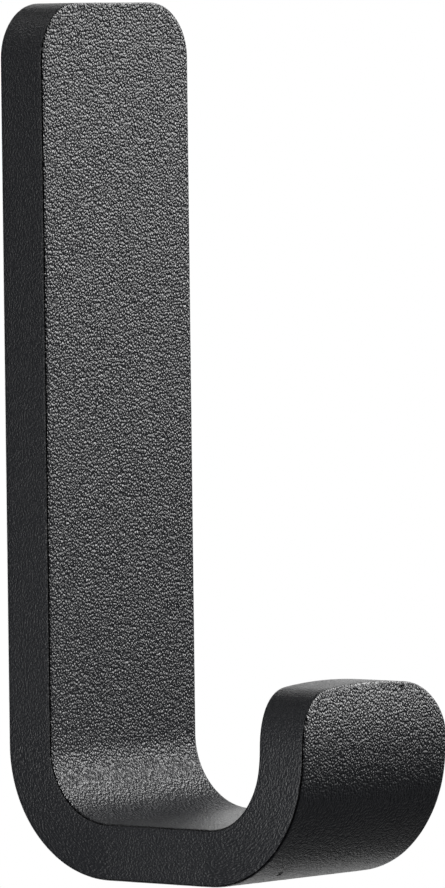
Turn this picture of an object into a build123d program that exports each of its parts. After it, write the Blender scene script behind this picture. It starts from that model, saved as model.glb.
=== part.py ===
from build123d import *
import math
import os

# A J shaped wall hook, bent from one flat bar and powder coated all over.
# X runs across the bar, +Y points at the wall and +Z is up.
# The origin lies on the wall face, midway between the two fixing holes.

# The flat bar
bar_width = 25.7
bar_thickness = 6.6
edge_radius = 0.4

# The side view, heights measured from the underside of the hook
total_height = 100.0
tip_height = 23.0
inner_reach = 37.55
wall_bend_radius = 8.3

# The tip bend opens out in three steps, and the last one leans the tip back in past upright
tip_bend_lower_radius = 6.7
tip_bend_lower_angle = 45.0
tip_bend_upper_radius = 9.0
tip_bend_upper_angle = 36.0
tip_lean_radius = 17.6

# The two ends, seen from the front
shank_corner_radius = 6.4
tip_corner_radius = 6.6
tip_crown = 1.2

# Two blind tapped holes in the wall face, for screws that come through the wall panel
hole_spacing = 50.0
hole_centre_height = 60.0
tap_drill_radius = 2.1
tapped_depth = 4.4
drill_point_angle = 118.0
hole_countersink = 0.5


def inner_line():
    """The inside of the J in the side view: front of the shank, floor, inner face of the tip.

    It runs a little past the tip's top, which crowned_tip cuts off level.
    """
    lower, upper, lean = tip_bend_lower_radius, tip_bend_upper_radius, tip_lean_radius
    first = math.radians(tip_bend_lower_angle)
    second = math.radians(tip_bend_lower_angle + tip_bend_upper_angle)
    run = lower * math.sin(first) + upper * (math.sin(second) - math.sin(first)) + lean * (1 - math.sin(second))
    rise = lower * (1 - math.cos(first)) + upper * (math.cos(first) - math.cos(second)) + lean * math.cos(second)
    shank_y = -bar_thickness
    floor_z = bar_thickness
    past_upright = math.degrees(math.asin((tip_height + 1.5 - floor_z - rise) / lean))
    shank = Line((shank_y, total_height), (shank_y, floor_z + wall_bend_radius))
    wall_bend = JernArc(shank @ 1, shank % 1, wall_bend_radius, -90)
    floor = Line(wall_bend @ 1, (-inner_reach + run, floor_z))
    lower_bend = JernArc(floor @ 1, floor % 1, lower, -tip_bend_lower_angle)
    upper_bend = JernArc(lower_bend @ 1, lower_bend % 1, upper, -tip_bend_upper_angle)
    leaning_tip = JernArc(upper_bend @ 1, upper_bend % 1, lean, math.degrees(second) - 90 - past_upright)
    return Wire([shank, wall_bend, floor, lower_bend, upper_bend, leaning_tip])


def bent_bar():
    """The side view of the bar at its full thickness, carried across the width."""
    inside = inner_line()
    outline = offset(inside, amount=bar_thickness, side=Side.LEFT, closed=True)
    side_view = make_face(outline.edges())
    return extrude(Plane.YZ * side_view, amount=bar_width / 2, both=True)


def crowned_tip(bar):
    """The tip is cut off level. Its top edge rises in a long arc to the middle and its two corners are round."""
    half = bar_width / 2 + 1
    drop = tip_crown * (half / (bar_width / 2)) ** 2
    crown = ThreePointArc((-half, tip_height - drop), (0, tip_height), (half, tip_height - drop))
    above = Polyline((half, tip_height - drop), (half, tip_height + 5), (-half, tip_height + 5), (-half, tip_height - drop))
    waste = extrude(Plane.XZ * make_face([*crown.edges(), *above.edges()]), amount=bar_thickness + 8)
    bar -= Pos(0, -inner_reach + 5, 0) * waste
    level = bar.edges().filter_by(Axis.Y).filter_by(lambda e: e.center().Y < -inner_reach + 3)
    corners = level.filter_by(lambda e: e.center().Z > tip_height - 4)
    return fillet(corners, tip_corner_radius)


def round_shank(bar):
    """The two top corners of the shank."""
    corners = bar.edges().filter_by(Axis.Y).group_by(Axis.Z)[-1]
    return fillet(corners, shank_corner_radius)


def tapped_hole():
    """One blind hole with its drill point and its small countersink, mouth at the origin, going in along Y."""
    r = tap_drill_radius
    point = r / math.tan(math.radians(drill_point_angle / 2))
    mouth = r + hole_countersink
    half = Polyline(
        (0, 1),
        (mouth, 1),
        (mouth, 0),
        (r, -hole_countersink),
        (r, -tapped_depth),
        (0, -tapped_depth - point),
        close=True,
    )
    return revolve(make_face(half), Axis.Y)


def build_hook():
    hook = round_shank(crowned_tip(bent_bar()))
    hook = fillet(hook.edges(), edge_radius)
    for side in (-1, 1):
        hook -= Pos(0, 0, hole_centre_height + side * hole_spacing / 2) * tapped_hole()
    return Pos(0, 0, -hole_centre_height) * hook


hook = build_hook()
hook.label = "hook"
os.makedirs("parts", exist_ok=True)
export_step(hook, "parts/hook.step")
print("hook", hook.bounding_box(), "volume", round(hook.volume, 1))
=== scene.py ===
# %% [markdown]
# A powder coated J hook, made in the order in which a metal shop makes it.
# The real hook is one piece of flat steel bar. A maker cuts a blank, rounds its corners, eases its edges,
# bends it twice round a former and then sprays it with black textured powder, which is melted on in an
# oven. This lesson follows suit: a flat blank in mesh code, the bend in Geometry Nodes, then the coat.

# %% Load the fixed frame
import math

import bmesh
import bpy
import numpy as np
from mathutils import Matrix, Vector


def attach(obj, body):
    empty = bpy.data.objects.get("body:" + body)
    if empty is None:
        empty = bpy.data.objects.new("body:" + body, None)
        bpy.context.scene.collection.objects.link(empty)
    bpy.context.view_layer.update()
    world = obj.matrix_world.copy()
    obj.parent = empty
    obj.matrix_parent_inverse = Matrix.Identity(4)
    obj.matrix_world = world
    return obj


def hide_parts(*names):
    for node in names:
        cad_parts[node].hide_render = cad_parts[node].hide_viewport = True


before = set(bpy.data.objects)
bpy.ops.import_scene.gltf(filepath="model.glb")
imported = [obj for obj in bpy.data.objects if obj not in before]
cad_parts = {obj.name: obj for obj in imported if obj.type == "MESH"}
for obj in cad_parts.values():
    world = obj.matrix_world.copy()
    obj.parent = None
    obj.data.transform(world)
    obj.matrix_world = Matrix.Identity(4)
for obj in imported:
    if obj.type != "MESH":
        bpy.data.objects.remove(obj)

for name in ("Cube", "Light", "Camera"):
    if name in bpy.data.objects:
        bpy.data.objects.remove(bpy.data.objects[name])
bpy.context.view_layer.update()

# %% [markdown]
# All sizes are real ones. They are written in millimetres, as on a drawing, and one constant turns them
# into metres. The origin is on the wall face between the two fixing holes, so the underside is 60 mm
# below it. The reach is measured from the wall to the inner face of the tip, where that stands upright.

# %% Sizes from the drawing
MM = 0.001
BAR_WIDTH = 25.7 * MM
HALF_WIDTH = BAR_WIDTH / 2
BAR_THICKNESS = 6.6 * MM
EDGE_RADIUS = 0.4 * MM
TOP = 40.0 * MM
UNDERSIDE = -60.0 * MM
INNER_FLOOR = UNDERSIDE + BAR_THICKNESS
TIP_TOP = -37.0 * MM
REACH = 37.55 * MM
WALL_BEND = 8.3 * MM
TIP_BENDS = (6.7 * MM, 9.0 * MM, 17.6 * MM)
TIP_TURNS = tuple(math.radians(degrees) for degrees in (45, 36, 34))
SHANK_CORNER = 6.4 * MM
TIP_CORNER = 6.6 * MM
TIP_CROWN = 1.2 * MM
print(f"a bar {BAR_WIDTH / MM:.1f} by {BAR_THICKNESS / MM:.1f} mm")

# %% [markdown]
# The inside of the J is a chain of straight pieces and arcs. The tip bend opens out in three steps, and
# the last one goes on past upright, so the tip leans back in over whatever hangs on the hook. The size of
# that last turn only has to be large enough for the line to run past the top of the tip. A corner that is
# rounded with radius r and turns by an angle a uses up r tan(a / 2) of the line on each side, so the
# corners can be set out one after another, and then the whole tip is moved out to its reach.

# %% Corners of the inside line
used_up = [r * math.tan(a / 2) for r, a in zip(TIP_BENDS, TIP_TURNS)]
steps = [used_up[0] + used_up[1], used_up[1] + used_up[2], used_up[2]]
headings = [sum(TIP_TURNS[:count]) for count in (1, 2, 3)]
tip_corners = [Vector((0.0, 0.0, INNER_FLOOR))]
for length, heading in zip(steps, headings):
    tip_corners.append(tip_corners[-1] + length * Vector((0.0, -math.cos(heading), math.sin(heading))))

last_bend, lean_heading = TIP_BENDS[2], headings[1]
lean_start = tip_corners[1] + used_up[1] * Vector((0.0, -math.cos(lean_heading), math.sin(lean_heading)))
centre_back = last_bend * math.sin(lean_heading)
run_in = Vector((0.0, -REACH + last_bend - centre_back - lean_start.y, 0.0))
tip_corners = [corner + run_in for corner in tip_corners]
inside_corners = [
    Vector((0.0, -BAR_THICKNESS, TOP)),
    Vector((0.0, -BAR_THICKNESS, INNER_FLOOR)),
    *tip_corners,
]
corner_radii = [0.0, WALL_BEND, *TIP_BENDS, 0.0]

# %% Length of the blank
upright_height = lean_start.z + last_bend * math.cos(lean_heading)
upright_along = (
    TOP - INNER_FLOOR - WALL_BEND + WALL_BEND * math.pi / 2
    - BAR_THICKNESS - WALL_BEND - tip_corners[0].y - used_up[0]
    + sum(r * a for r, a in zip(TIP_BENDS[:2], TIP_TURNS[:2])) + last_bend * (math.pi / 2 - lean_heading)
)
blank_length = upright_along + TIP_TOP - upright_height
print(f"the tip stands upright {(upright_height - UNDERSIDE) / MM:.1f} mm above the underside")
print(f"the blank is {blank_length / MM:.1f} mm long")

# %% [markdown]
# The blank is a flat bar with round corners and eased edges. A cube with bevels would have a few huge
# faces, and huge faces can't be bent. So it is made from six patches of small, even quads: two broad
# faces, two sides that follow the outline round its corners, and two ends, of which the tip's is crowned,
# a little higher in its middle. Each patch is a table of points, and the patches meet point for point, so
# welding them closes the blank. The tip's round corner starts where it has the same slope as the crown. A
# few rounds of trying find that place.

# %% Crown of the tip
SLOPE_TRIES = 20


def crown_fall(x):
    """How far the tip's top edge has fallen at a distance x from its middle, and how steep it is there."""
    return TIP_CROWN * (x / HALF_WIDTH) ** 2, 2 * TIP_CROWN * x / HALF_WIDTH**2


tip_centre_x = HALF_WIDTH - TIP_CORNER
touch_x = tip_centre_x
for _ in range(SLOPE_TRIES):
    slope = math.atan(crown_fall(touch_x)[1])
    touch_x = tip_centre_x + TIP_CORNER * math.sin(slope)
print(f"crown meets corner {touch_x / MM:.2f} mm from the middle, at {math.degrees(slope):.1f} degrees")

# %% Outline of the blank
CORNER_STEPS = 14
LENGTH_STEPS = 404


def half_outline():
    """The right half of the outline, end to end: core points inside the eased edge, and their ways out."""
    quarter = np.linspace(0, math.pi / 2, CORNER_STEPS + 1)
    out_top = np.stack([np.sin(quarter), -np.cos(quarter)], 1)
    sweep = np.linspace(0, math.pi / 2 - slope, CORNER_STEPS + 1)
    out_tip = np.stack([np.cos(sweep), np.sin(sweep)], 1)
    top = np.array([HALF_WIDTH - SHANK_CORNER, SHANK_CORNER]) + (SHANK_CORNER - EDGE_RADIUS) * out_top
    centre_along = blank_length - crown_fall(touch_x)[0] - TIP_CORNER * math.cos(slope)
    tip = np.array([tip_centre_x, centre_along]) + (TIP_CORNER - EDGE_RADIUS) * out_tip
    share = np.linspace(0, 1, LENGTH_STEPS + 1)[1:-1, None]
    side = top[-1] + share * (tip[0] - top[-1])
    way = np.vstack([out_top, np.tile([1.0, 0.0], (len(side), 1)), out_tip])
    return np.vstack([top, side, tip]), way


core, way_out = half_outline()
print(len(core), "stations along the blank")

# %% Section of the rim
EDGE_STEPS = 4
SIDE_STEPS = 13

ease = np.linspace(0, math.pi / 2, EDGE_STEPS + 1)
near_edge = np.stack([np.sin(ease), 1 - np.cos(ease)], 1) * EDGE_RADIUS
far_depth = BAR_THICKNESS - EDGE_RADIUS + np.sin(ease) * EDGE_RADIUS
far_edge = np.stack([np.cos(ease) * EDGE_RADIUS, far_depth], 1)
flat = np.linspace(0, 1, SIDE_STEPS + 1)[1:-1, None]
rim = np.vstack([near_edge, near_edge[-1] + flat * (far_edge[0] - near_edge[-1]), far_edge])
print(len(rim), "points across the thickness")

# %% Rows of the broad faces, with the crown blended into the last stretch of the tip
WIDTH_STEPS = 76
CROWN_BLEND = 9.0 * MM

columns = np.linspace(-1, 1, WIDTH_STEPS + 1)
fallen, steepness = crown_fall(columns * touch_x)
crown_out = np.stack([steepness, np.ones_like(steepness)], 1)
crown_out /= np.linalg.norm(crown_out, axis=1)[:, None]
crown_core = np.stack([columns * touch_x, blank_length - fallen], 1) - EDGE_RADIUS * crown_out
near_end = np.clip((core[:, 1] - core[-1, 1]) / CROWN_BLEND + 1, 0, 1)[:, None]
near_end = near_end**2 * (3 - 2 * near_end)
row_across = columns * core[:, :1] + near_end * (crown_core[:, 0] - columns * core[-1, 0])
row_along = core[:, 1:] + near_end * (crown_core[:, 1] - core[-1, 1])
print("a broad face is", row_across.shape, "points")

# %% Six patches
def patch_points(across_bar, through_bar, along_bar):
    """One patch as a table of points: x across the bar, y through its thickness, z along its length."""
    return np.stack(np.broadcast_arrays(across_bar, through_bar, along_bar), -1)


side_across = core[:, :1] + way_out[:, :1] * rim[:, 0]
side_along = core[:, 1:] + way_out[:, 1:] * rim[:, 0]
tip_across = crown_core[:, :1] + crown_out[:, :1] * rim[:, 0]
tip_along = crown_core[:, 1:] + crown_out[:, 1:] * rim[:, 0]
patches = [
    patch_points(row_across, 0.0, row_along),
    patch_points(row_across, BAR_THICKNESS, row_along),
    patch_points(-side_across, rim[:, 1], side_along),
    patch_points(side_across, rim[:, 1], side_along),
    patch_points((columns * core[0, 0])[:, None], rim[:, 1], core[0, 1] - rim[:, 0]),
    patch_points(tip_across, rim[:, 1], tip_along),
]
print(len(patches), "patches of", [patch.shape[:2] for patch in patches], "points")

# %% Weld the patches into the blank
WELD_DISTANCE = 0.002 * MM

blank = bmesh.new()
for patch in patches:
    grid = [[blank.verts.new(point) for point in row] for row in patch.tolist()]
    for row, next_row in zip(grid, grid[1:]):
        for c in range(len(row) - 1):
            blank.faces.new((row[c], row[c + 1], next_row[c + 1], next_row[c]))
bmesh.ops.remove_doubles(blank, verts=blank.verts, dist=WELD_DISTANCE)
bmesh.ops.recalc_face_normals(blank, faces=blank.faces)
blank_mesh = bpy.data.meshes.new("flat_blank")
blank.to_mesh(blank_mesh)
blank.free()
hook = bpy.data.objects.new("hook_body", blank_mesh)
bpy.context.scene.collection.objects.link(hook)
print(len(blank_mesh.vertices), "points and", len(blank_mesh.polygons), "quads in the blank")

# %% [markdown]
# A node tree is easier to read when every node is added in the same way. One helper makes a node, gives
# it its settings, and fills each input with a plain value or a link. Three more start a tree, end it and
# run it. Each tree has named inputs for its sizes, and ends in Realize Instances and Set Material,
# because an export drops instances. After its one run the modifier is gone and the piece is a plain mesh.

# %% One helper for every node
def add_node(tree, kind, settings=None, inputs=None):
    """Add a node. An input is a value, a socket, or another node, which stands for its first output."""
    node = tree.nodes.new(kind)
    for name, value in (settings or {}).items():
        setattr(node, name, value)
    for key, value in (inputs or {}).items():
        if isinstance(value, bpy.types.Node):
            value = value.outputs[0]
        if isinstance(value, bpy.types.NodeSocket):
            tree.links.new(value, node.inputs[key])
        else:
            node.inputs[key].default_value = value
    return node


# %% Start, end and run a tree
def new_tree(name, sizes):
    """A geometry tree with a geometry input and output, and one named input for each size."""
    tree = bpy.data.node_groups.new(name, "GeometryNodeTree")
    tree.interface.new_socket("Geometry", in_out="INPUT", socket_type="NodeSocketGeometry")
    for label, kind in sizes.items():
        tree.interface.new_socket(label, in_out="INPUT", socket_type=kind)
    tree.interface.new_socket("Geometry", in_out="OUTPUT", socket_type="NodeSocketGeometry")
    return tree, add_node(tree, "NodeGroupInput").outputs


def end_tree(tree, geometry, material, chosen=True):
    """End a tree in Realize Instances and Set Material, which goes on the chosen faces only."""
    real = add_node(tree, "GeometryNodeRealizeInstances", None, {0: geometry})
    finished = add_node(
        tree, "GeometryNodeSetMaterial", None, {"Geometry": real, "Selection": chosen, "Material": material}
    )
    add_node(tree, "NodeGroupOutput", None, {0: finished})
    print(f"{tree.name}: {len(tree.nodes)} nodes, {len(tree.links)} links")


def run_tree(piece, tree, values):
    """Run the tree on the piece once, keep the result as a plain mesh and drop the modifier."""
    modifier = piece.modifiers.new(tree.name, "NODES")
    modifier.node_group = tree
    for item in tree.interface.items_tree:
        if item.in_out == "INPUT" and item.name in values:
            modifier[item.identifier] = values[item.name]
    evaluated = piece.evaluated_get(bpy.context.evaluated_depsgraph_get())
    result = bpy.data.meshes.new_from_object(evaluated)
    piece.modifiers.remove(modifier)
    piece.data = result
    print(f"{tree.name}: {len(result.vertices)} points, {len(result.polygons)} faces")


# %% [markdown]
# On the real bar the bend is made round a former, so the inside of the J decides everything. The tree
# draws that inside line through its corner points and fillets each with its bend radius. Then each point
# of the blank looks up the place on the line that is as far along as the point is, and moves there. The
# end of the tip is cut off level, so past the upright place a point is set by its height: the height
# divided by its own distance from the centre of the bend is the sine of the angle it has turned. These
# two rules move every point of the blank.

# %% The inside line as a filleted curve
NUMBER, PLACE, MATERIAL = "NodeSocketFloat", "NodeSocketVector", "NodeSocketMaterial"
CORNERS = [f"Corner {number}" for number in range(len(inside_corners))]
RADII = [f"Radius {number}" for number in range(len(corner_radii))]
POINTS_PER_FILLET = 64

bend, bend_in = new_tree("bend_flat_bar", {
    **dict.fromkeys(CORNERS, PLACE),
    **dict.fromkeys(RADII, NUMBER),
    "Upright Along": NUMBER,
    "Coat": MATERIAL,
})
corner_number = add_node(bend, "GeometryNodeInputIndex")
own_place = add_node(bend, "GeometryNodeIndexSwitch", {"data_type": "VECTOR"}, {"Index": corner_number})
own_fillet = add_node(bend, "GeometryNodeIndexSwitch", {"data_type": "FLOAT"}, {"Index": corner_number})
for switch, labels in ((own_place, CORNERS), (own_fillet, RADII)):
    while len(switch.index_switch_items) < len(labels):
        switch.index_switch_items.new()
    for number, label in enumerate(labels):
        bend.links.new(bend_in[label], switch.inputs[str(number)])

row_of_points = add_node(bend, "GeometryNodeMeshLine", {"mode": "OFFSET"}, {"Count": len(CORNERS)})
chain = add_node(bend, "GeometryNodeMeshToCurve", None, {"Mesh": row_of_points})
set_out = add_node(bend, "GeometryNodeSetPosition", None, {"Geometry": chain, "Position": own_place})
bezier = add_node(bend, "GeometryNodeCurveSplineType", {"spline_type": "BEZIER"}, {"Curve": set_out})
straight = add_node(bend, "GeometryNodeCurveSetHandles", {"handle_type": "VECTOR"}, {"Curve": bezier})
filleted = add_node(
    bend, "GeometryNodeFilletCurve", {"mode": "BEZIER"}, {"Curve": straight, "Radius": own_fillet}
)
inside_line = add_node(
    bend, "GeometryNodeSetSplineResolution", None, {"Geometry": filleted, "Resolution": POINTS_PER_FILLET}
)
print(len(CORNERS), "points on the inside line,", sum(r > 0 for r in corner_radii), "of them filleted")

# %% Each point of the blank looks up its place on the line
MATH, VECTOR = "ShaderNodeMath", "ShaderNodeVectorMath"
ACROSS = (1.0, 0.0, 0.0)

flat_place = add_node(bend, "GeometryNodeInputPosition")
across, depth, along = add_node(bend, "ShaderNodeSeparateXYZ", None, {0: flat_place}).outputs
last_radius = bend_in[RADII[-2]]
up_to_upright = add_node(bend, MATH, {"operation": "MINIMUM"}, {0: along, 1: bend_in["Upright Along"]})
risen = add_node(bend, MATH, {"operation": "SUBTRACT"}, {0: along, 1: up_to_upright})
own_radius = add_node(bend, MATH, {"operation": "ADD"}, {0: last_radius, 1: depth})
sine = add_node(bend, MATH, {"operation": "DIVIDE"}, {0: risen, 1: own_radius})
turned = add_node(bend, MATH, {"operation": "ARCSINE"}, {0: sine})
along_line = add_node(
    bend, MATH, {"operation": "MULTIPLY_ADD"}, {0: turned, 1: last_radius, 2: up_to_upright}
)
found = add_node(
    bend, "GeometryNodeSampleCurve", {"mode": "LENGTH"}, {"Curves": inside_line, "Length": along_line}
)
outward = add_node(bend, VECTOR, {"operation": "CROSS_PRODUCT"}, {0: ACROSS, 1: found.outputs["Tangent"]})
unit_outward = add_node(bend, VECTOR, {"operation": "NORMALIZE"}, {0: outward})
through = add_node(bend, VECTOR, {"operation": "SCALE"}, {0: unit_outward, "Scale": depth})
sideways = add_node(bend, "ShaderNodeCombineXYZ", None, {"X": across})
in_profile = add_node(bend, VECTOR, {"operation": "ADD"}, {0: found.outputs["Position"], 1: through})
bent = add_node(bend, VECTOR, {"operation": "ADD"}, {0: in_profile, 1: sideways})
print(len(bend.nodes), "nodes so far")

# %% [markdown]
# The grain of the coat differs between the broad faces and the rim, and the rim's grain and the slow
# swell should follow the bar round its bends. The blank knows these things best before it is bent, so two
# attributes are stored on it first: broad_face, which is 1 on a broad face, 0 on the rim and in between
# over the eased edge, and flat_place, the point's flat position.

# %% Store what the flat blank knows, then bend it
# How squarely a point faces through the bar where it starts to count as broad, and where it counts fully.
BROAD_FROM = 0.35
BROAD_TO = 0.95

flat_normal = add_node(bend, "GeometryNodeInputNormal")
normal_parts = add_node(bend, "ShaderNodeSeparateXYZ", None, {0: flat_normal})
faces_through = add_node(bend, MATH, {"operation": "ABSOLUTE"}, {0: normal_parts.outputs["Y"]})
broadness = add_node(
    bend, "ShaderNodeMapRange", {"interpolation_type": "SMOOTHSTEP"},
    {"Value": faces_through, "From Min": BROAD_FROM, "From Max": BROAD_TO},
)
marked = add_node(
    bend, "GeometryNodeStoreNamedAttribute", {"data_type": "FLOAT", "domain": "POINT"},
    {"Geometry": bend_in["Geometry"], "Name": "broad_face", "Value": broadness},
)
remembered = add_node(
    bend, "GeometryNodeStoreNamedAttribute", {"data_type": "FLOAT_VECTOR", "domain": "POINT"},
    {"Geometry": marked, "Name": "flat_place", "Value": flat_place},
)
shaped = add_node(bend, "GeometryNodeSetPosition", None, {"Geometry": remembered, "Position": bent})
facing_out = add_node(bend, "GeometryNodeFlipFaces", None, {0: shaped})
end_tree(bend, facing_out, bend_in["Coat"])

powder_coat = bpy.data.materials.new("black_powder_coat")
run_tree(hook, bend, {
    **dict(zip(CORNERS, inside_corners)),
    **dict(zip(RADII, corner_radii)),
    "Upright Along": upright_along,
    "Coat": powder_coat,
})

# %% [markdown]
# Textured powder doesn't melt quite flat. Under the fine grain the coat has a slow swell, like the skin
# of an orange, about a millimetre and a half from crest to crest. It is real relief, so it is made by
# moving points and not by shading. Every point goes in by a few hundredths of a millimetre, so the coat
# never grows past the drawing.

# %% Slow swell of the coat
SWELL_PITCH = 1.5 * MM
SWELL_DEPTH = 0.03 * MM
COAT_INSET = 0.03 * MM
NAMED = "GeometryNodeInputNamedAttribute"

swell_sizes = ("Pitch", "Depth", "Inset")
swell, swell_in = new_tree("coat_swell", {**dict.fromkeys(swell_sizes, NUMBER), "Coat": MATERIAL})
kept_place = add_node(swell, NAMED, {"data_type": "FLOAT_VECTOR"}, {"Name": "flat_place"})
kept_broadness = add_node(swell, NAMED, {"data_type": "FLOAT"}, {"Name": "broad_face"})
waves_per_metre = add_node(swell, MATH, {"operation": "DIVIDE"}, {0: 1.0, 1: swell_in["Pitch"]})
wave = add_node(
    swell, "ShaderNodeTexNoise", {"noise_dimensions": "3D"},
    {"Vector": kept_place, "Scale": waves_per_metre, "Detail": 1.0, "Roughness": 0.4},
)
broad_wave = add_node(swell, MATH, {"operation": "MULTIPLY"}, {0: wave, 1: kept_broadness})
sunk = add_node(
    swell, MATH, {"operation": "MULTIPLY_ADD"}, {0: broad_wave, 1: swell_in["Depth"], 2: swell_in["Inset"]}
)
inward = add_node(swell, MATH, {"operation": "MULTIPLY"}, {0: sunk, 1: -1.0})
bent_normal = add_node(swell, "GeometryNodeInputNormal")
shift = add_node(swell, VECTOR, {"operation": "SCALE"}, {0: bent_normal, "Scale": inward})
swollen = add_node(
    swell, "GeometryNodeSetPosition", None, {"Geometry": swell_in["Geometry"], "Offset": shift}
)
end_tree(swell, swollen, swell_in["Coat"])
run_tree(hook, swell, {
    "Pitch": SWELL_PITCH,
    "Depth": SWELL_DEPTH,
    "Inset": COAT_INSET,
    "Coat": powder_coat,
})

# %% [markdown]
# The front is blank, so the hook is held from behind: screws come through the wall panel into two blind
# tapped holes. A tap cuts a groove that winds round the wall of the hole. A rod whose radius swells in
# step with height and angle is exactly such a thread, and cutting it out of the bar leaves the groove
# behind. A tree makes this cutter by rule: a drill point at the inner end, a thread on the way and a
# countersink at the mouth. The mouth stands a little way out of the wall face, so that the cut is clean
# there.

# %% Sizes of the tapped holes
HOLE_SPACING = 50.0 * MM
DRILL_RADIUS = 2.1 * MM
THREAD_RADIUS = 2.5 * MM
THREAD_PITCH = 0.8 * MM
TAPPED_DEPTH = 4.4 * MM
COUNTERSINK = 0.5 * MM
DRILL_ANGLE = math.radians(118)
DRILL_POINT = DRILL_RADIUS / math.tan(DRILL_ANGLE / 2)
MOUTH_OUT = 0.5 * MM
wall_left = BAR_THICKNESS - TAPPED_DEPTH - DRILL_POINT
print(f"{wall_left / MM:.1f} mm of steel are left between the drill point and the front")

# %% A rod that swells along a thread
POINTS_ROUND = 40
RINGS_ALONG = 42

drill_sizes = ("Spacing", "Radius", "Thread Outer", "Pitch", "Depth", "Countersink", "Drill Point")
drill_sizes += ("Mouth Out", "Steel From", "Steel To")
drill, drill_in = new_tree(
    "drill_and_tap", {**dict.fromkeys(drill_sizes, NUMBER), "Steel": MATERIAL, "Coat": MATERIAL}
)
rod_length = add_node(drill, MATH, {"operation": "ADD"}, {0: drill_in["Depth"], 1: drill_in["Mouth Out"]})
rod = add_node(
    drill, "GeometryNodeMeshCylinder", {"fill_type": "TRIANGLE_FAN"},
    {
        "Vertices": POINTS_ROUND,
        "Side Segments": RINGS_ALONG,
        "Radius": drill_in["Radius"],
        "Depth": rod_length,
    },
)
rod_point = add_node(drill, "GeometryNodeInputPosition")
rod_x, rod_y, rod_z = add_node(drill, "ShaderNodeSeparateXYZ", None, {0: rod_point}).outputs
half_length = add_node(drill, MATH, {"operation": "MULTIPLY"}, {0: rod_length, 1: 0.5})
height_in_rod = add_node(drill, MATH, {"operation": "ADD"}, {0: rod_z, 1: half_length})
angle = add_node(drill, MATH, {"operation": "ARCTAN2"}, {0: rod_y, 1: rod_x})
turns = add_node(drill, MATH, {"operation": "DIVIDE"}, {0: angle, 1: 2 * math.pi})
climb = add_node(drill, MATH, {"operation": "DIVIDE"}, {0: height_in_rod, 1: drill_in["Pitch"]})
phase = add_node(drill, MATH, {"operation": "SUBTRACT"}, {0: climb, 1: turns})
zigzag = add_node(drill, MATH, {"operation": "PINGPONG"}, {0: phase, 1: 0.5})
full_groove = add_node(
    drill, MATH, {"operation": "SUBTRACT"}, {0: drill_in["Thread Outer"], 1: drill_in["Radius"]}
)
half_groove = add_node(drill, MATH, {"operation": "MULTIPLY"}, {0: zigzag, 1: full_groove})
groove = add_node(drill, MATH, {"operation": "MULTIPLY"}, {0: half_groove, 1: 2.0})
run_out = add_node(
    drill, "ShaderNodeMapRange", None,
    {"Value": height_in_rod, "From Min": 0.0, "From Max": drill_in["Pitch"]},
)
thread = add_node(drill, MATH, {"operation": "MULTIPLY"}, {0: groove, 1: run_out})
print(f"{RINGS_ALONG * THREAD_PITCH / (TAPPED_DEPTH + MOUTH_OUT):.1f} rings for each turn of the thread")

# %% Its countersink and its drill point
# The one point this near to the middle and to the inner end is drawn out into the drill point.
NEAR = 0.1 * MM
COMPARE, BOOLEAN = "FunctionNodeCompare", "FunctionNodeBooleanMath"

to_mouth = add_node(drill, MATH, {"operation": "SUBTRACT"}, {0: drill_in["Depth"], 1: height_in_rod})
flare_raw = add_node(drill, MATH, {"operation": "SUBTRACT"}, {0: drill_in["Countersink"], 1: to_mouth})
flare = add_node(
    drill, "ShaderNodeClamp", None, {"Value": flare_raw, "Min": 0.0, "Max": drill_in["Countersink"]}
)
wider_by = add_node(drill, MATH, {"operation": "MAXIMUM"}, {0: thread, 1: flare})
off_middle = add_node(drill, "ShaderNodeCombineXYZ", None, {"X": rod_x, "Y": rod_y})
unit_off = add_node(drill, VECTOR, {"operation": "NORMALIZE"}, {0: off_middle})
widening = add_node(drill, VECTOR, {"operation": "SCALE"}, {0: unit_off, "Scale": wider_by})
threaded = add_node(
    drill, "GeometryNodeSetPosition", None, {"Geometry": rod.outputs["Mesh"], "Offset": widening}
)
off_by = add_node(drill, VECTOR, {"operation": "LENGTH"}, {0: off_middle}).outputs["Value"]
in_middle = add_node(drill, COMPARE, {"operation": "LESS_THAN"}, {0: off_by, 1: NEAR})
at_inner_end = add_node(drill, COMPARE, {"operation": "LESS_THAN"}, {0: height_in_rod, 1: NEAR})
is_point = add_node(drill, BOOLEAN, {"operation": "AND"}, {0: in_middle, 1: at_inner_end})
point_drop = add_node(drill, MATH, {"operation": "MULTIPLY"}, {0: drill_in["Drill Point"], 1: -1.0})
point_shift = add_node(drill, "ShaderNodeCombineXYZ", None, {"Z": point_drop})
pointed = add_node(
    drill, "GeometryNodeSetPosition", None,
    {"Geometry": threaded, "Selection": is_point, "Offset": point_shift},
)
print(len(drill.nodes), "nodes so far")

# %% Two of them, turned towards the wall
rod_shift = add_node(drill, MATH, {"operation": "SUBTRACT"}, {0: drill_in["Mouth Out"], 1: half_length})
rod_place = add_node(drill, "ShaderNodeCombineXYZ", None, {"Y": rod_shift})
aimed = add_node(
    drill, "GeometryNodeTransform", None,
    {"Geometry": pointed, "Translation": rod_place, "Rotation": (-math.pi / 2, 0.0, 0.0)},
)
below_origin = add_node(drill, MATH, {"operation": "MULTIPLY"}, {0: drill_in["Spacing"], 1: -0.5})
first_hole = add_node(drill, "ShaderNodeCombineXYZ", None, {"Z": below_origin})
next_hole = add_node(drill, "ShaderNodeCombineXYZ", None, {"Z": drill_in["Spacing"]})
hole_places = add_node(
    drill, "GeometryNodeMeshLine", {"mode": "OFFSET"},
    {"Count": 2, "Start Location": first_hole, "Offset": next_hole},
)
two_rods = add_node(drill, "GeometryNodeInstanceOnPoints", None, {"Points": hole_places, "Instance": aimed})
real_rods = add_node(drill, "GeometryNodeRealizeInstances", None, {0: two_rods})
print(len(drill.nodes), "nodes so far")

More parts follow.
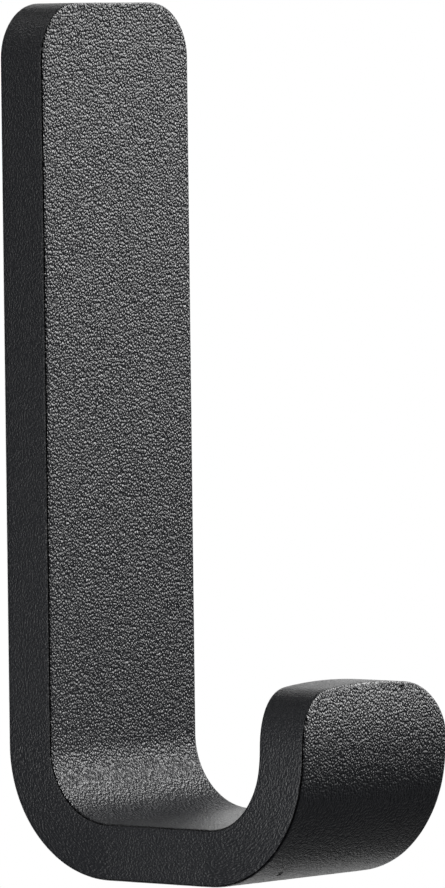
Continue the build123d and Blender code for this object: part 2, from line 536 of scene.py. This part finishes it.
# %% [markdown]
# The photograph also shows a few pits in the coat: one beside the top edge of the tip, two that run
# together under the bend, and a small one next to those. They are real hollows, so the same cut takes
# four little balls out of the bar. Every cutter carries the coat as its material, so the walls of the
# pits are coated like the rest. The two holes are tapped after the coat is baked, so on their walls, and
# only there, the steel shows.

# %% Pits in the coat
# Each pit: its centre and its three half widths, in millimetres.
PITS = {
    "small pit": ((-8.82, -37.43, -57.62), (0.18, 0.24, 0.2)),
    "pit beside it": ((-7.68, -36.25, -58.35), (0.34, 0.34, 0.3)),
    "pit underneath": ((-7.3, -35.8, -58.6), (0.4, 0.36, 0.3)),
    "pit near the tip's top": ((5.56, -43.36, -37.84), (0.14, 0.22, 0.2)),
}

ball = add_node(drill, "GeometryNodeMeshIcoSphere", None, {"Radius": 1.0 * MM, "Subdivisions": 3})
cutters = add_node(drill, "GeometryNodeJoinGeometry")
for centre, radii in PITS.values():
    pit = add_node(
        drill, "GeometryNodeTransform", None,
        {"Geometry": ball, "Translation": Vector(centre) * MM, "Scale": radii},
    )
    drill.links.new(pit.outputs[0], cutters.inputs[0])
drill.links.new(real_rods.outputs[0], cutters.inputs[0])
coated_cutters = add_node(
    drill, "GeometryNodeSetMaterial", None, {"Geometry": cutters, "Material": drill_in["Coat"]}
)
cut = add_node(
    drill, "GeometryNodeMeshBoolean", {"operation": "DIFFERENCE", "solver": "MANIFOLD"},
    {"Mesh 1": drill_in["Geometry"], "Mesh 2": coated_cutters},
)
print(len(PITS), "pits, the widest", max(2 * max(radii) for _, radii in PITS.values()), "mm across")

# %% Bare steel on the walls of the holes, then the cut
# Steel shows between these two depths: just under the wall face and just short of the front.
STEEL_FROM = -0.08 * MM
STEEL_TO = -6.2 * MM

face_point = add_node(drill, "GeometryNodeInputPosition")
face_x, face_y, face_z = add_node(drill, "ShaderNodeSeparateXYZ", None, {0: face_point}).outputs
either_way = add_node(drill, MATH, {"operation": "ABSOLUTE"}, {0: face_z})
from_axis = add_node(drill, MATH, {"operation": "ADD"}, {0: either_way, 1: below_origin})
off_axis = add_node(drill, "ShaderNodeCombineXYZ", None, {"X": face_x, "Z": from_axis})
axis_gap = add_node(drill, VECTOR, {"operation": "LENGTH"}, {0: off_axis}).outputs["Value"]
near_axis = add_node(drill, COMPARE, {"operation": "LESS_THAN"}, {0: axis_gap, 1: drill_in["Thread Outer"]})
under_wall = add_node(drill, COMPARE, {"operation": "LESS_THAN"}, {0: face_y, 1: drill_in["Steel From"]})
off_front = add_node(drill, COMPARE, {"operation": "GREATER_THAN"}, {0: face_y, 1: drill_in["Steel To"]})
inside = add_node(drill, BOOLEAN, {"operation": "AND"}, {0: near_axis, 1: under_wall})
in_hole = add_node(drill, BOOLEAN, {"operation": "AND"}, {0: inside, 1: off_front})
end_tree(drill, cut, drill_in["Steel"], in_hole)

bare_steel = bpy.data.materials.new("bare_cut_steel")
run_tree(hook, drill, {
    "Spacing": HOLE_SPACING,
    "Radius": DRILL_RADIUS,
    "Thread Outer": THREAD_RADIUS,
    "Pitch": THREAD_PITCH,
    "Depth": TAPPED_DEPTH,
    "Countersink": COUNTERSINK,
    "Drill Point": DRILL_POINT,
    "Mouth Out": MOUTH_OUT,
    "Steel From": STEEL_FROM,
    "Steel To": STEEL_TO,
    "Steel": bare_steel,
    "Coat": powder_coat,
})

# %% Smooth shading, with sharp edges left in the threads
SHARP_ANGLE = math.radians(35)

hook.data.shade_smooth()
hook.data.set_sharp_from_angle(angle=SHARP_ANGLE)
print("materials:", [material.name for material in hook.data.materials])

# %% [markdown]
# A few grains of powder don't melt and stay as tiny bumps, called nibs. They are what sparkles as single
# bright dots where the coat is in shade. There are about seventeen hundred of them, all from one ball of
# twenty faces, so this is work for Distribute Points and Instance on Points. A fixed seed keeps every nib
# in its place on every run. None sits on the bare steel or on the back, which lies against the wall.

# %% Nibs
NIB_RADIUS = 0.085 * MM
NIB_FLATNESS = 0.33
NIB_SMALLEST, NIB_LARGEST = 0.55, 1.0
NIBS_PER_MM2 = 0.25
NIB_SEED = 7
NIBS_OFF_WALL = -0.6 * MM

nib_sizes = ("Density", "Radius", "Flatness", "Smallest", "Largest", "Off Wall")
scatter, scatter_in = new_tree("coat_nibs", {
    **dict.fromkeys(nib_sizes, NUMBER),
    "Seed": "NodeSocketInt",
    "Steel": MATERIAL,
    "Coat": MATERIAL,
})
skin_point = add_node(scatter, "GeometryNodeInputPosition")
skin_y = add_node(scatter, "ShaderNodeSeparateXYZ", None, {0: skin_point}).outputs["Y"]
off_wall = add_node(scatter, COMPARE, {"operation": "LESS_THAN"}, {0: skin_y, 1: scatter_in["Off Wall"]})
is_steel = add_node(scatter, "GeometryNodeMaterialSelection", None, {"Material": scatter_in["Steel"]})
not_steel = add_node(scatter, BOOLEAN, {"operation": "NOT"}, {0: is_steel})
allowed = add_node(scatter, BOOLEAN, {"operation": "AND"}, {0: off_wall, 1: not_steel})
scattered = add_node(
    scatter, "GeometryNodeDistributePointsOnFaces", {"distribute_method": "RANDOM"},
    {
        "Mesh": scatter_in["Geometry"],
        "Selection": allowed,
        "Density": scatter_in["Density"],
        "Seed": scatter_in["Seed"],
    },
)
round_nib = add_node(
    scatter, "GeometryNodeMeshIcoSphere", None, {"Radius": scatter_in["Radius"], "Subdivisions": 1}
)
black_nib = add_node(
    scatter, "GeometryNodeSetMaterial", None, {"Geometry": round_nib, "Material": scatter_in["Coat"]}
)
flattening = add_node(
    scatter, "ShaderNodeCombineXYZ", None, {"X": 1.0, "Y": 1.0, "Z": scatter_in["Flatness"]}
)
low_nib = add_node(scatter, "GeometryNodeTransform", None, {"Geometry": black_nib, "Scale": flattening})
own_size = add_node(
    scatter, "FunctionNodeRandomValue", {"data_type": "FLOAT"},
    {2: scatter_in["Smallest"], 3: scatter_in["Largest"]},
)
set_in_place = add_node(
    scatter, "GeometryNodeInstanceOnPoints", None,
    {
        "Points": scattered.outputs["Points"],
        "Instance": low_nib,
        "Rotation": scattered.outputs["Rotation"],
        "Scale": own_size.outputs[1],
    },
)
end_tree(scatter, set_in_place, scatter_in["Coat"])

# %% Scatter the nibs over the coat
nibs = bpy.data.objects.new("coat_nibs", hook.data.copy())
bpy.context.scene.collection.objects.link(nibs)
run_tree(nibs, scatter, {
    "Density": NIBS_PER_MM2 / MM**2,
    "Radius": NIB_RADIUS,
    "Flatness": NIB_FLATNESS,
    "Smallest": NIB_SMALLEST,
    "Largest": NIB_LARGEST,
    "Off Wall": NIBS_OFF_WALL,
    "Seed": NIB_SEED,
    "Steel": bare_steel,
    "Coat": powder_coat,
})
# The plain ball brings an empty material slot along. The nibs keep only the slot of their finish.
if nibs.data.materials[0] is None:
    nibs.data.materials.pop(index=0)
nibs.data.shade_smooth()
print("materials:", [material.name for material in nibs.data.materials])

# %% [markdown]
# The cut leaves a few pairs of points on top of each other round the mouths of the holes, with faces of
# no area between them. They don't show, but a file of the mesh would hold them as stray faces. Merging
# points that lie closer than a ten-thousandth of a millimetre takes them out. It comes after the nibs,
# because nibs are drawn face by face, and with a few faces fewer they would all fall in other places.

# %% Merge doubled points
DOUBLED = 0.0001 * MM

merged = bmesh.new()
merged.from_mesh(hook.data)
bmesh.ops.remove_doubles(merged, verts=merged.verts, dist=DOUBLED)
open_edges = sum(len(edge.link_faces) != 2 for edge in merged.edges)
merged.to_mesh(hook.data)
merged.free()
print(len(hook.data.vertices), "points left,", open_edges, "open edges")

# %% [markdown]
# Colours are chosen on screen in sRGB, but shaders count in linear light. One function turns a hex colour
# into linear values, so every colour in this file can be checked against a picture.

# %% Hex colour to linear
def linear(hex_colour):
    """A hex colour such as #808080 as red, green, blue and alpha in linear light."""
    channels = [int(hex_colour[i:i + 2], 16) / 255 for i in (1, 3, 5)]
    return tuple(c / 12.92 if c <= 0.04045 else ((c + 0.055) / 1.055) ** 2.4 for c in channels) + (1.0,)


def empty_tree(owner):
    """The node tree of a material or world, switched on and emptied."""
    owner.use_nodes = True
    owner.node_tree.nodes.clear()
    return owner.node_tree


print("charcoal in linear light:", [round(c, 4) for c in linear("#2e2f32")])

# %% [markdown]
# Black textured powder coat is a dark plastic skin. Its own colour is a cool charcoal, but most of what
# the eye gets is light glancing off the grain, so the shader is a dark base with a fairly rough gloss.
# The grain is too fine to be made of points, so it is drawn as bump. On the two broad faces it is a mass
# of tiny rounded pimples with sharp valleys between, 0.3 mm from one to the next. That is a cell pattern,
# with the distance from each cell's middle taken as depth. On the narrow rim the powder lies thinner and
# has run, so there the grain is finer and a little drawn out along the bar. The stored attribute
# broad_face tells the two apart.

# %% Grain of the coat
GRAIN_PITCH = 0.3 * MM
GRAIN_DEPTH = 0.107 * MM
RIM_PITCH = 0.21 * MM
RIM_DEPTH = 0.18 * MM
RIM_DRAWN_OUT = 0.8

coat = empty_tree(powder_coat)
coat_point = add_node(coat, "ShaderNodeTexCoord").outputs["Object"]
blank_point = add_node(coat, "ShaderNodeAttribute", {"attribute_name": "flat_place"}).outputs["Vector"]
broad = add_node(coat, "ShaderNodeAttribute", {"attribute_name": "broad_face"}).outputs["Fac"]
pimples = add_node(
    coat, "ShaderNodeTexVoronoi", {"feature": "F1"}, {"Vector": coat_point, "Scale": 1 / GRAIN_PITCH}
)
drawn_out = add_node(
    coat, VECTOR, {"operation": "MULTIPLY"}, {0: blank_point, 1: (1.0, 1.0, RIM_DRAWN_OUT)}
)
runs = add_node(
    coat, "ShaderNodeTexNoise", {"noise_dimensions": "3D"},
    {"Vector": drawn_out, "Scale": 1 / RIM_PITCH, "Detail": 1.0, "Roughness": 0.5},
)
broad_height = add_node(coat, MATH, {"operation": "MULTIPLY"}, {0: pimples, 1: -GRAIN_DEPTH})
rim_height = add_node(coat, MATH, {"operation": "MULTIPLY"}, {0: runs, 1: RIM_DEPTH})
height = add_node(coat, "ShaderNodeMix", {"data_type": "FLOAT"}, {0: broad, 2: rim_height, 3: broad_height})
grain = add_node(coat, "ShaderNodeBump", None, {"Strength": 1.0, "Distance": 1.0, "Height": height})
print(f"{1 * MM / GRAIN_PITCH:.1f} pimples to the millimetre on the broad faces")

# %% [markdown]
# Over the eased edge the coat is made smoother, and its colour is darkened there. That darkening is painted
# shade: it draws the fine dark line round each broad face, which on the hook comes from the rounded edge
# reflecting dark surroundings. There broad_face is half way between its two ends, so with b for its value,
# 4 b (1 - b) is 1 on the edge and 0 on the broad faces and the rim.

# %% Powder coat: dark skin, smoother on the edge, with painted shade along it
# The edge colour is painted shade: a near black that draws the dark reflection line along the eased edge.
SKIN_COLOUR, PAINTED_EDGE_SHADE = "#2e2f32", "#0c0c0d"
SKIN_ROUGHNESS, EDGE_ROUGHNESS = 0.3, 0.2

off_broad = add_node(coat, MATH, {"operation": "SUBTRACT"}, {0: 1.0, 1: broad})
between = add_node(coat, MATH, {"operation": "MULTIPLY"}, {0: broad, 1: off_broad})
edge = add_node(coat, MATH, {"operation": "MULTIPLY"}, {0: between, 1: 4.0})
roughness = add_node(
    coat, "ShaderNodeMapRange", None, {"Value": edge, "To Min": SKIN_ROUGHNESS, "To Max": EDGE_ROUGHNESS}
)
# This mix paints that shade onto the eased edge, over the skin colour of the faces.
colour = add_node(
    coat, "ShaderNodeMix", {"data_type": "RGBA"}, {0: edge, 6: linear(SKIN_COLOUR), 7: linear(PAINTED_EDGE_SHADE)}
).outputs[2]
skin = add_node(
    coat, "ShaderNodeBsdfPrincipled", None,
    {"Base Color": colour, "Roughness": roughness, "IOR": 1.5, "Normal": grain},
)
add_node(coat, "ShaderNodeOutputMaterial", None, {"Surface": skin})
print(f"{powder_coat.name}: {len(coat.nodes)} nodes")

# %% [markdown]
# Freshly cut steel is a bright grey metal. The tap leaves fine marks in it, brighter and duller by turns,
# so the roughness follows a fine noise, and the eye gets the broken glint of a cut thread.

# %% Bare cut steel
MARK_PITCH = 0.25 * MM

steel = empty_tree(bare_steel)
steel_point = add_node(steel, "ShaderNodeTexCoord").outputs["Object"]
marks = add_node(
    steel, "ShaderNodeTexNoise", {"noise_dimensions": "3D"},
    {"Vector": steel_point, "Scale": 1 / MARK_PITCH, "Detail": 3.0},
)
dullness = add_node(steel, "ShaderNodeMapRange", None, {"Value": marks, "To Min": 0.28, "To Max": 0.5})
metal = add_node(
    steel, "ShaderNodeBsdfPrincipled", None,
    {"Base Color": linear("#a9a7a2"), "Metallic": 1.0, "Roughness": dullness},
)
add_node(steel, "ShaderNodeOutputMaterial", None, {"Surface": metal})
print(f"{bare_steel.name}: {len(steel.nodes)} nodes")

# %% [markdown]
# The camera stands where the photographer stood: to the left of the hook, a little above it, and about a
# metre off with a long lens, so that the edges stay nearly parallel. It is set out from the point it
# looks at: first the way it faces, then how far it is slid sideways and up, then its distance. At that
# distance a millimetre on the hook is as many pixels as in the photograph.

# %% Camera
IMAGE_HEIGHT = 888
FOCAL_PIXELS = 9000.0
PIXELS_PER_MM = 8.75
SENSOR = 36.0
NEAREST_SEEN = 0.01
AZIMUTH, PITCH, ROLL = (math.radians(degrees) for degrees in (49.611, 2.441, -0.695))
AIM = Vector((0.0, -20.0, -10.0)) * MM
SHIFT_RIGHT, SHIFT_UP = -1.498 * MM, 0.603 * MM

forward = Vector((
    math.sin(AZIMUTH) * math.cos(PITCH),
    math.cos(AZIMUTH) * math.cos(PITCH),
    -math.sin(PITCH),
))
level_right = Vector((math.cos(AZIMUTH), -math.sin(AZIMUTH), 0.0))
level_up = level_right.cross(forward)
right = math.cos(ROLL) * level_right + math.sin(ROLL) * level_up
up = math.cos(ROLL) * level_up - math.sin(ROLL) * level_right
distance = FOCAL_PIXELS / PIXELS_PER_MM * MM
eye = AIM - SHIFT_RIGHT * right - SHIFT_UP * up - distance * forward

camera_data = bpy.data.cameras.new("camera")
camera_data.sensor_width = SENSOR
camera_data.lens = FOCAL_PIXELS * SENSOR / IMAGE_HEIGHT
camera_data.clip_start = NEAREST_SEEN
camera = bpy.data.objects.new("camera", camera_data)
bpy.context.scene.collection.objects.link(camera)
camera.matrix_world = Matrix.Translation(eye) @ Matrix((right, up, -forward)).transposed().to_4x4()
bpy.context.scene.camera = camera
print(f"camera {distance:.2f} m away, lens {camera_data.lens:.0f} mm")

# %% [markdown]
# The hook hangs over a large sheet of opal acrylic that is lit from below, as on a product photographer's
# table. In the main view it lies below the picture, and in views from above it gives the eye an even,
# nearly white ground. It is there for the camera only: its glow isn't sampled as a lamp and no ray off
# the hook reaches it, because it would wash out the dark underside of the bend.

# %% Lit acrylic floor
FLOOR_DROP = 600 * MM
FLOOR_SIZE = 3000 * MM

bpy.ops.mesh.primitive_plane_add(size=FLOOR_SIZE, location=(0.0, 0.0, -FLOOR_DROP))
floor = bpy.context.object
floor.name = "studio_floor"
lit_acrylic = bpy.data.materials.new("opal_acrylic_lit_from_below")
acrylic = empty_tree(lit_acrylic)
glow = add_node(
    acrylic, "ShaderNodeBsdfPrincipled", None,
    {
        "Base Color": linear("#808080"),
        "Roughness": 0.9,
        "Emission Color": linear("#f4f4f3"),
        "Emission Strength": 0.85,
    },
)
add_node(acrylic, "ShaderNodeOutputMaterial", None, {"Surface": glow})
lit_acrylic.cycles.emission_sampling = "NONE"
floor.data.materials.append(lit_acrylic)
floor.visible_diffuse = False
floor.visible_glossy = False
print(f"floor {FLOOR_DROP:.1f} m below the origin, {FLOOR_SIZE:.0f} m wide")

# %% [markdown]
# A dark glossy thing shows its lamps more than itself, so each softbox is placed where its reflection is
# wanted. Three large key lamps in front, to the right, make the even sheen of the broad face. The ones on
# the left draw the rim, and those behind keep the back and the right side readable from other views. All
# are out of the picture and hidden from the camera.

# %% Softboxes
# Each lamp: degrees right of the front, degrees up, distance, width and height, the point it faces, watts.
LAMPS = {
    "key_wide": (50, 14, 700, (250, 250), (0, -10, -30), 1.0),
    "key_high": (60, 30, 450, (180, 180), (0, -15, -40), 1.3),
    "key_far": (52, 18, 800, (300, 300), (0, -10, -30), 0.7),
    "right_side": (95, 20, 600, (300, 400), (0, -20, -20), 0.22),
    "right_back": (130, 10, 600, (300, 400), (0, -20, -20), 0.4),
    "right_back_low": (130, -28, 600, (280, 280), (0, -20, -40), 0.19),
    "under_right": (100, -38, 500, (250, 250), (0, -40, -55), 0.05),
    "top_back": (180, 55, 500, (300, 300), (0, -20, 0), 0.31),
    "left_strip": (-90, 0, 600, (80, 400), (0, -20, -10), 0.3),
    "left_edge": (-70, 0, 700, (40, 300), (0, -20, -10), 0.22),
    "left_high": (-100, 28, 420, (150, 200), (0, -15, 35), 0.22),
    "left_low": (-110, -30, 500, (200, 200), (0, -20, -40), 0.24),
    "left_near": (-85, -10, 160, (100, 100), (0, -54, -50), 0.1),
    "behind": (155, -6, 700, (200, 400), (0, 0, -10), 0.5),
}
for name, (azimuth, elevation, away, (wide, high), target, watts) in LAMPS.items():
    turn, tilt = math.radians(azimuth), math.radians(elevation)
    towards = Vector((math.sin(turn) * math.cos(tilt), -math.cos(turn) * math.cos(tilt), math.sin(tilt)))
    lamp_data = bpy.data.lights.new(name, "AREA")
    lamp_data.shape = "RECTANGLE"
    lamp_data.size = wide * MM
    lamp_data.size_y = high * MM
    lamp_data.energy = watts
    lamp = bpy.data.objects.new(name, lamp_data)
    lamp.location = (Vector(target) + towards * away) * MM
    lamp.rotation_euler = (-towards).to_track_quat("-Z", "Y").to_euler()
    lamp.visible_camera = False
    bpy.context.scene.collection.objects.link(lamp)
print(len(LAMPS), "softboxes,", round(sum(lamp[-1] for lamp in LAMPS.values()), 1), "W in all")

# %% [markdown]
# The backdrop is white in the photograph. A white world would light the hook from all round and turn it
# grey, so the world is white for the camera only and dark for every other ray.

# %% White backdrop
world = bpy.data.worlds.new("white_backdrop")
bpy.context.scene.world = world
air = empty_tree(world)
seen = add_node(air, "ShaderNodeLightPath").outputs["Is Camera Ray"]
backdrop = add_node(air, "ShaderNodeBackground", None, {"Color": linear("#ffffff"), "Strength": seen})
add_node(air, "ShaderNodeOutputWorld", None, {"Surface": backdrop})
bpy.context.scene.view_settings.view_transform = "Standard"
print("view transform:", bpy.context.scene.view_settings.view_transform)

# %% [markdown]
# Both pieces belong to the one body of the part, root. The hook takes the place of the plain CAD shape.

# %% Hand over to the frame
for piece in (hook, nibs):
    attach(piece, "root")
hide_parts("hook")
